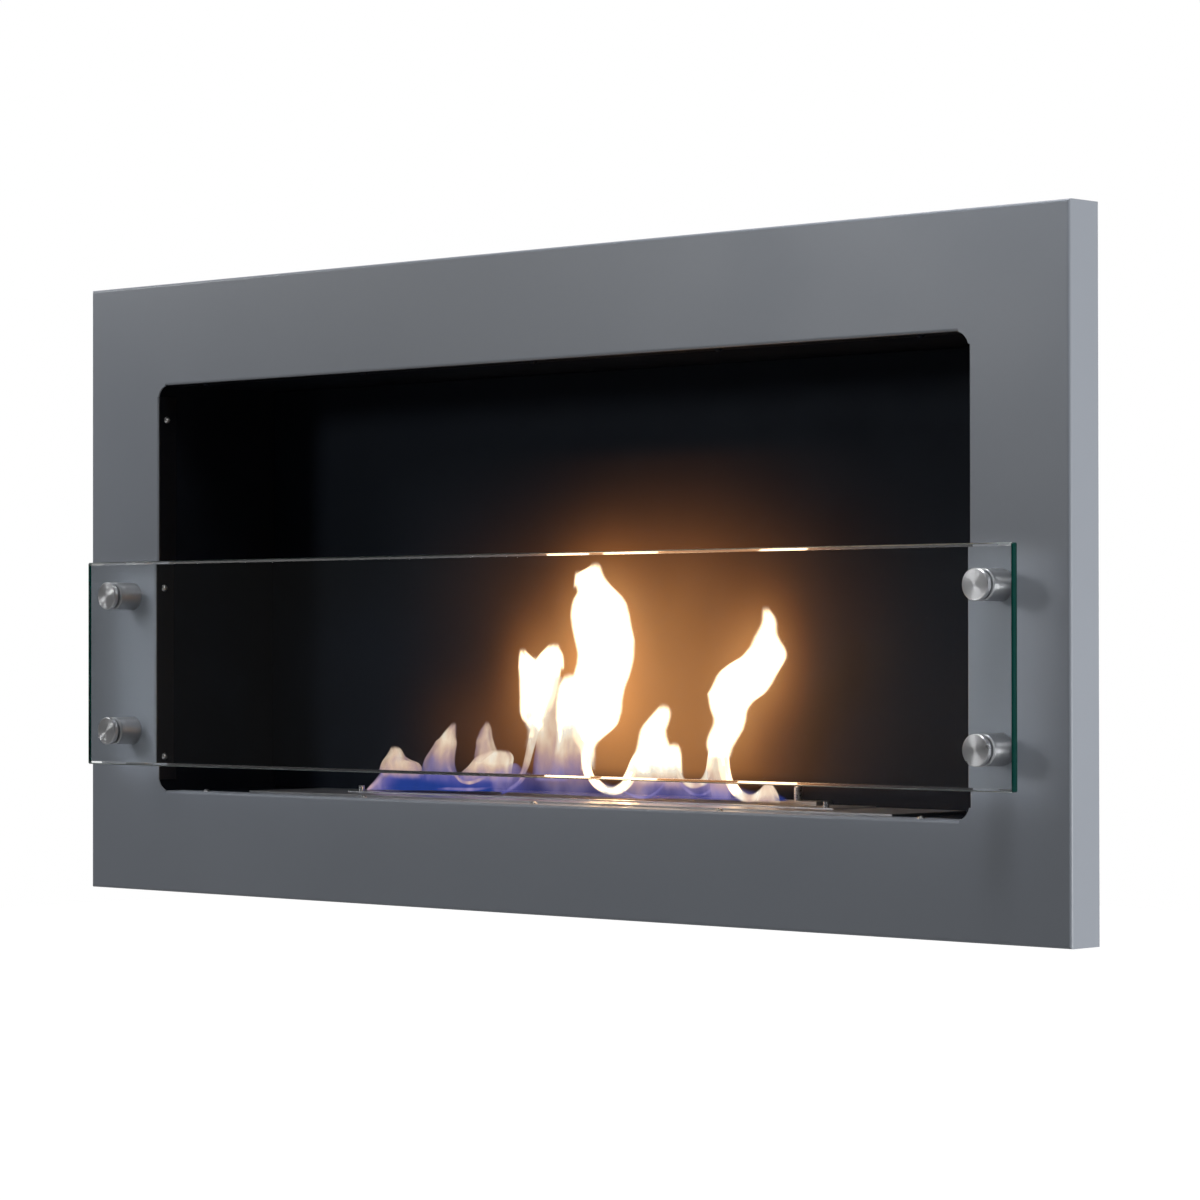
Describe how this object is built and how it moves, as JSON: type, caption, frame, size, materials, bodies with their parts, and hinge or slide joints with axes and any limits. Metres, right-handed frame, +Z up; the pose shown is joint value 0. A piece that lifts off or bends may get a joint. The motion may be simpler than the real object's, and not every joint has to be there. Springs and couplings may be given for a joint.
{
  "type": "wall-mounted bioethanol fireplace",
  "caption": "Long low grey wall fire with an open black firebox, a slotted ethanol burner with a sliding lid, and a clear glass guard held off the front on round steel standoffs.",
  "frame": {"origin": "middle of the flat back plate, on the wall plane", "axes": "+Z up, +X to the right of a viewer who faces the fire, +Y into the wall, so the front faces -Y"},
  "size_m": [1.1, 0.1835, 0.54],
  "materials": {
    "frame_powder_coat": "fine satin powder coat, cool grey",
    "black_heat_paint": "satin black heat-resistant paint",
    "burner_stainless": "brushed stainless sheet",
    "standoff_stainless": "turned and brushed stainless",
    "bright_fasteners": "bright zinc-plated steel",
    "guard_glass": "clear toughened glass with polished edges",
    "silicone": "translucent silicone",
    "nylon": "natural nylon",
    "ceramic_wool": "white ceramic fibre"
  },
  "bodies": {
    "casing": {"front_frame": "frame_powder_coat", "side_tab_screws": "bright_fasteners", "top_tab_screws": "bright_fasteners", "bottom_tab_screws": "bright_fasteners", "tab_nuts": "bright_fasteners", "left_cheek": "black_heat_paint", "right_cheek": "black_heat_paint", "firebox_roof": "black_heat_paint", "firebox_floor": "black_heat_paint", "casing_back": "black_heat_paint", "fire_back": "black_heat_paint", "back_rivets": "bright_fasteners", "corner_rivets": "bright_fasteners", "overflow_well": "black_heat_paint", "well_rivets": "bright_fasteners", "floor_plate": "burner_stainless", "glass_guard": "guard_glass", "glass_sleeves": "nylon", "front_gaskets": "silicone", "rear_gaskets": "silicone", "standoff_barrels": "standoff_stainless", "standoff_caps": "standoff_stainless", "standoff_washers": "bright_fasteners", "standoff_screws": "bright_fasteners"},
    "burner": {"burner_top_plate": "burner_stainless", "burner_tank": "burner_stainless", "absorbent_wool": "ceramic_wool", "wool_cover": "burner_stainless", "lift_pins": "bright_fasteners"},
    "lid": {"sliding_lid": "burner_stainless", "lid_handle": "bright_fasteners", "lid_guide_screws": "bright_fasteners", "lid_guide_washers": "bright_fasteners", "lid_guide_nuts": "bright_fasteners"}
  },
  "joints": [
    {"name": "burner_lift", "type": "slide", "parent": "casing", "child": "burner", "axis": [0, 0, 1], "range_m": [0, 0.06]},
    {"name": "lid_slide", "type": "slide", "parent": "burner", "child": "lid", "axis": [0, -1, 0], "range_m": [0, 0.02]}
  ]
}
